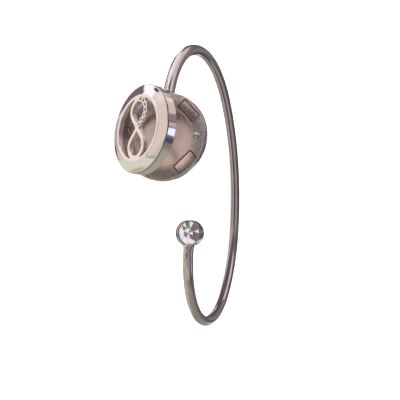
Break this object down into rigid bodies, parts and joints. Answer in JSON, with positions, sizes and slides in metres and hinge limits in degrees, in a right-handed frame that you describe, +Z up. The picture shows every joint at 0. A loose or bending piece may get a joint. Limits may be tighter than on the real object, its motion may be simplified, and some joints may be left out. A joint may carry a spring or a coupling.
{
  "type": "aromatherapy locket cuff bracelet",
  "caption": "Open wire cuff with a hinged, pierced scent locket on one end and a round crystal in a bezel cup on the other.",
  "frame": {"origin": "under the middle of the whole part, at the surface that it lies on", "axes": "+Z up, the way the cuff lies on its side; +Y along the cuff's long way, from the locket's end to the crystal's end; +X out of the opening, roughly the way the locket and the crystal face"},
  "size_m": [0.0658, 0.0751, 0.0209],
  "materials": {
    "cuff_steel": "stainless steel, wire and rims polished, the locket's face lightly brushed",
    "lid_steel": "polished stainless steel with a smooth bevel",
    "magnet_metal": "nickel-plated magnet, polished with fine scratches",
    "crystal_glass": "clear faceted glass with a silvered back"
  },
  "bodies": {
    "cuff": {"cuff": "cuff_steel", "magnet_upper": "magnet_metal", "magnet_lower": "magnet_metal", "hinge_pin": "cuff_steel", "crystal": "crystal_glass"},
    "lid": {"lid": "lid_steel"}
  },
  "joints": [
    {"name": "lid_hinge", "type": "hinge", "parent": "cuff", "child": "lid", "pos_m": [0.0231, -0.01816, 0.00085], "axis": [0.3437, 0.9391, 0], "range_deg": [-29.4, 60.6]}
  ]
}
